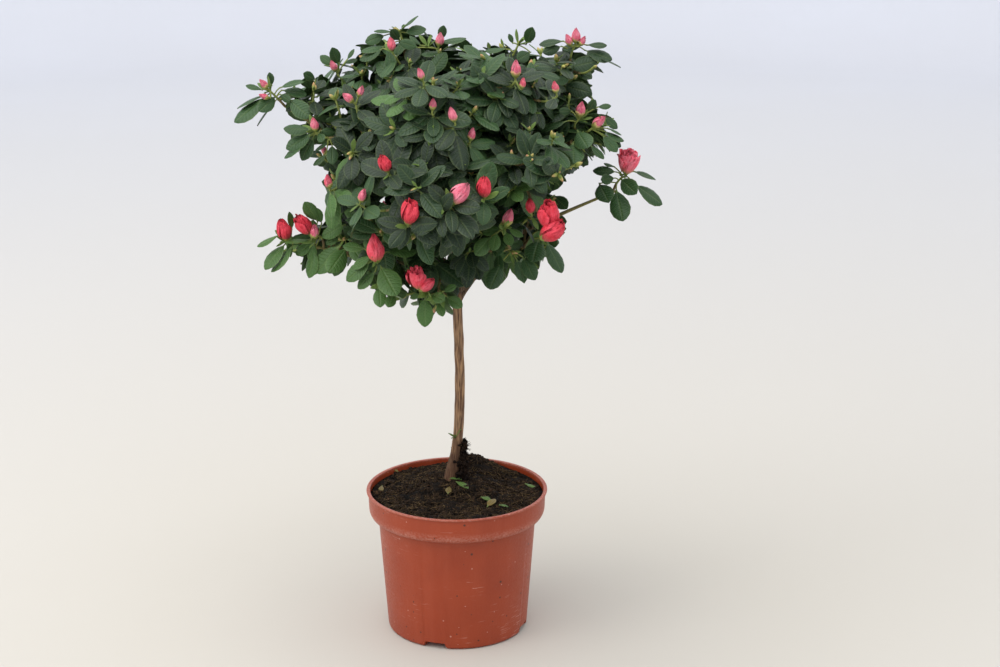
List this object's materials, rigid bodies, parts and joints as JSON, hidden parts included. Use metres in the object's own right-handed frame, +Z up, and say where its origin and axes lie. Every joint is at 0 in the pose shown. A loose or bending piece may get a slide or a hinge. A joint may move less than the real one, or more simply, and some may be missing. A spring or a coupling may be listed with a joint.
{
  "type": "potted rhododendron",
  "caption": "Small flowering rhododendron grown as a standard: slim leaning trunk, loose round crown of dark leaf rosettes and red buds, in a filled terracotta-coloured nursery pot.",
  "frame": {"origin": "centre of the pot's flat underside", "axes": "+Z up along the pot's axis, +X to the right and -Y towards the viewer of the picture"},
  "size_m": [0.3787, 0.373, 0.5768],
  "materials": {
    "terracotta_plastic": "satin",
    "compost": "matte",
    "bark": "matte",
    "foliage": "satin"
  },
  "bodies": {
    "root": {"pot": "terracotta_plastic", "soil": "compost", "trunk": "bark", "bough_front_low": "bark", "foliage_front_low": "foliage", "bough_back_low_right": "bark", "foliage_back_low_right": "foliage", "bough_lower_left": "bark", "foliage_lower_left": "foliage", "bough_lower_right": "bark", "foliage_lower_right": "foliage", "bough_front_low_left": "bark", "foliage_front_low_left": "foliage", "bough_back_low_left": "bark", "foliage_back_low_left": "foliage", "bough_front_low_right": "bark", "foliage_front_low_right": "foliage", "bough_left_middle": "bark", "foliage_left_middle": "foliage", "bough_right_spray": "bark", "foliage_right_spray": "foliage", "bough_back_middle": "bark", "foliage_back_middle": "foliage", "bough_front_middle": "bark", "foliage_front_middle": "foliage", "bough_back_left": "bark", "foliage_back_left": "foliage", "bough_front_right": "bark", "foliage_front_right": "foliage", "bough_back_right": "bark", "foliage_back_right": "foliage", "bough_left_shoulder": "bark", "foliage_left_shoulder": "foliage", "bough_right_upper": "bark", "foliage_right_upper": "foliage", "bough_back_top": "bark", "foliage_back_top": "foliage", "bough_far_left": "bark", "foliage_far_left": "foliage", "bough_front_upper": "bark", "foliage_front_upper": "foliage", "bough_right_tip": "bark", "foliage_right_tip": "foliage", "bough_upper_left": "bark", "foliage_upper_left": "foliage", "bough_front_top": "bark", "foliage_front_top": "foliage", "bough_top_left": "bark", "foliage_top_left": "foliage", "bough_top_right": "bark", "foliage_top_right": "foliage"}
  },
  "joints": []
}
